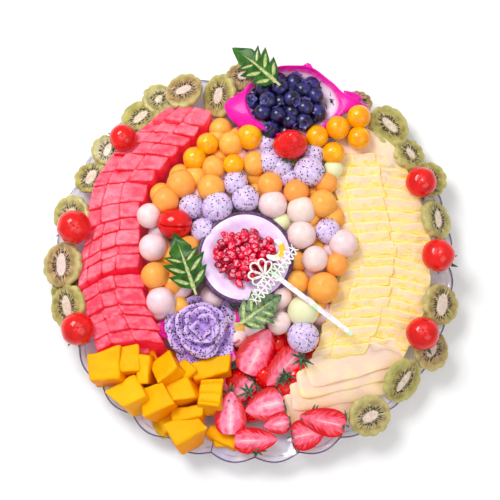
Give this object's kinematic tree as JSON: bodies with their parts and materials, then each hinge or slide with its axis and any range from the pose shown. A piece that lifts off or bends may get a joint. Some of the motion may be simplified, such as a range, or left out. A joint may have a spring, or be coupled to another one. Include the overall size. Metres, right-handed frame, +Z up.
{
  "type": "fruit platter",
  "caption": "Round scalloped glass plate with cut fruit in sections round a coconut bowl of pomegranate seeds, ringed with kiwi slices and cherry tomatoes",
  "frame": {"origin": "Centre of the plate's flat foot, on the surface it stands on.", "axes": "+Z is up. -Y is the front, where the mango and strawberries lie, and +Y is the back, where the dragon fruit half stands. +X is to the right seen from the front."},
  "size_m": [0.4138, 0.4069, 0.0797],
  "materials": {
    "glass": "clear pressed glass with a faint violet tint and fine dark edge lines",
    "coconut": "matt white flesh inside a thin dark husk",
    "pomegranate": "wet, glassy red seeds",
    "dragon_skin": "waxy magenta peel with thick pale flesh behind it",
    "blueberry": "dark blue under a pale lilac bloom",
    "dragon_flesh": "damp lilac-white flesh full of small black seeds",
    "leaf": "glossy dark green with carved pale veins",
    "acrylic": "clear acrylic with a pale rainbow sheen",
    "tomato": "polished red skin",
    "strawberry": "glossy red skin, streaked pink and white where cut",
    "kiwi": "moist olive-green flesh with a pale core and a ring of black seeds",
    "golden_berry": "taut glossy orange skin",
    "cantaloupe": "moist apricot flesh",
    "honeydew": "moist, nearly white flesh",
    "mango": "smooth wet golden flesh",
    "watermelon": "crisp coral-red flesh with a pink bloom on the cut tops",
    "pineapple": "fibrous cream-yellow flesh"
  },
  "bodies": {
    "root": {"plate": "glass", "coconut_half": "coconut", "pomegranate_arils": "pomegranate", "dragon_fruit_half": "dragon_skin", "blueberries": "blueberry", "dragon_fruit_rose": "dragon_flesh", "leaf_back": "leaf", "leaf_left": "leaf", "leaf_front": "leaf", "topper": "acrylic", "cherry_tomato_1": "tomato", "cherry_tomato_2": "tomato", "cherry_tomato_3": "tomato", "cherry_tomato_4": "tomato", "cherry_tomato_5": "tomato", "cherry_tomato_6": "tomato", "cherry_tomato_7": "tomato", "strawberry_whole": "strawberry", "strawberry_half_1": "strawberry", "strawberry_half_2": "strawberry", "strawberry_half_3": "strawberry", "strawberry_half_4": "strawberry", "strawberry_half_5": "strawberry", "strawberry_half_6": "strawberry", "strawberry_half_7": "strawberry", "strawberry_half_8": "strawberry", "strawberry_half_9": "strawberry", "strawberry_half_10": "strawberry", "kiwi_slice_1": "kiwi", "kiwi_slice_2": "kiwi", "kiwi_slice_3": "kiwi", "kiwi_slice_4": "kiwi", "kiwi_slice_5": "kiwi", "kiwi_slice_6": "kiwi", "kiwi_slice_7": "kiwi", "kiwi_slice_8": "kiwi", "kiwi_slice_9": "kiwi", "kiwi_slice_10": "kiwi", "kiwi_slice_11": "kiwi", "kiwi_slice_12": "kiwi", "kiwi_slice_13": "kiwi", "kiwi_slice_14": "kiwi", "kiwi_slice_15": "kiwi", "kiwi_slice_16": "kiwi", "kiwi_slice_17": "kiwi", "kiwi_slice_18": "kiwi", "kiwi_slice_19": "kiwi", "kiwi_slice_20": "kiwi", "golden_berries": "golden_berry", "ball_heap_north_west": "cantaloupe", "ball_heap_north_east": "cantaloupe", "ball_heap_west": "honeydew", "ball_heap_east": "cantaloupe", "mango_back": "mango", "mango_front": "mango", "watermelon_upper": "watermelon", "watermelon_middle": "watermelon", "watermelon_lower": "watermelon", "pineapple_upper": "pineapple", "pineapple_lower": "pineapple"}
  },
  "joints": []
}
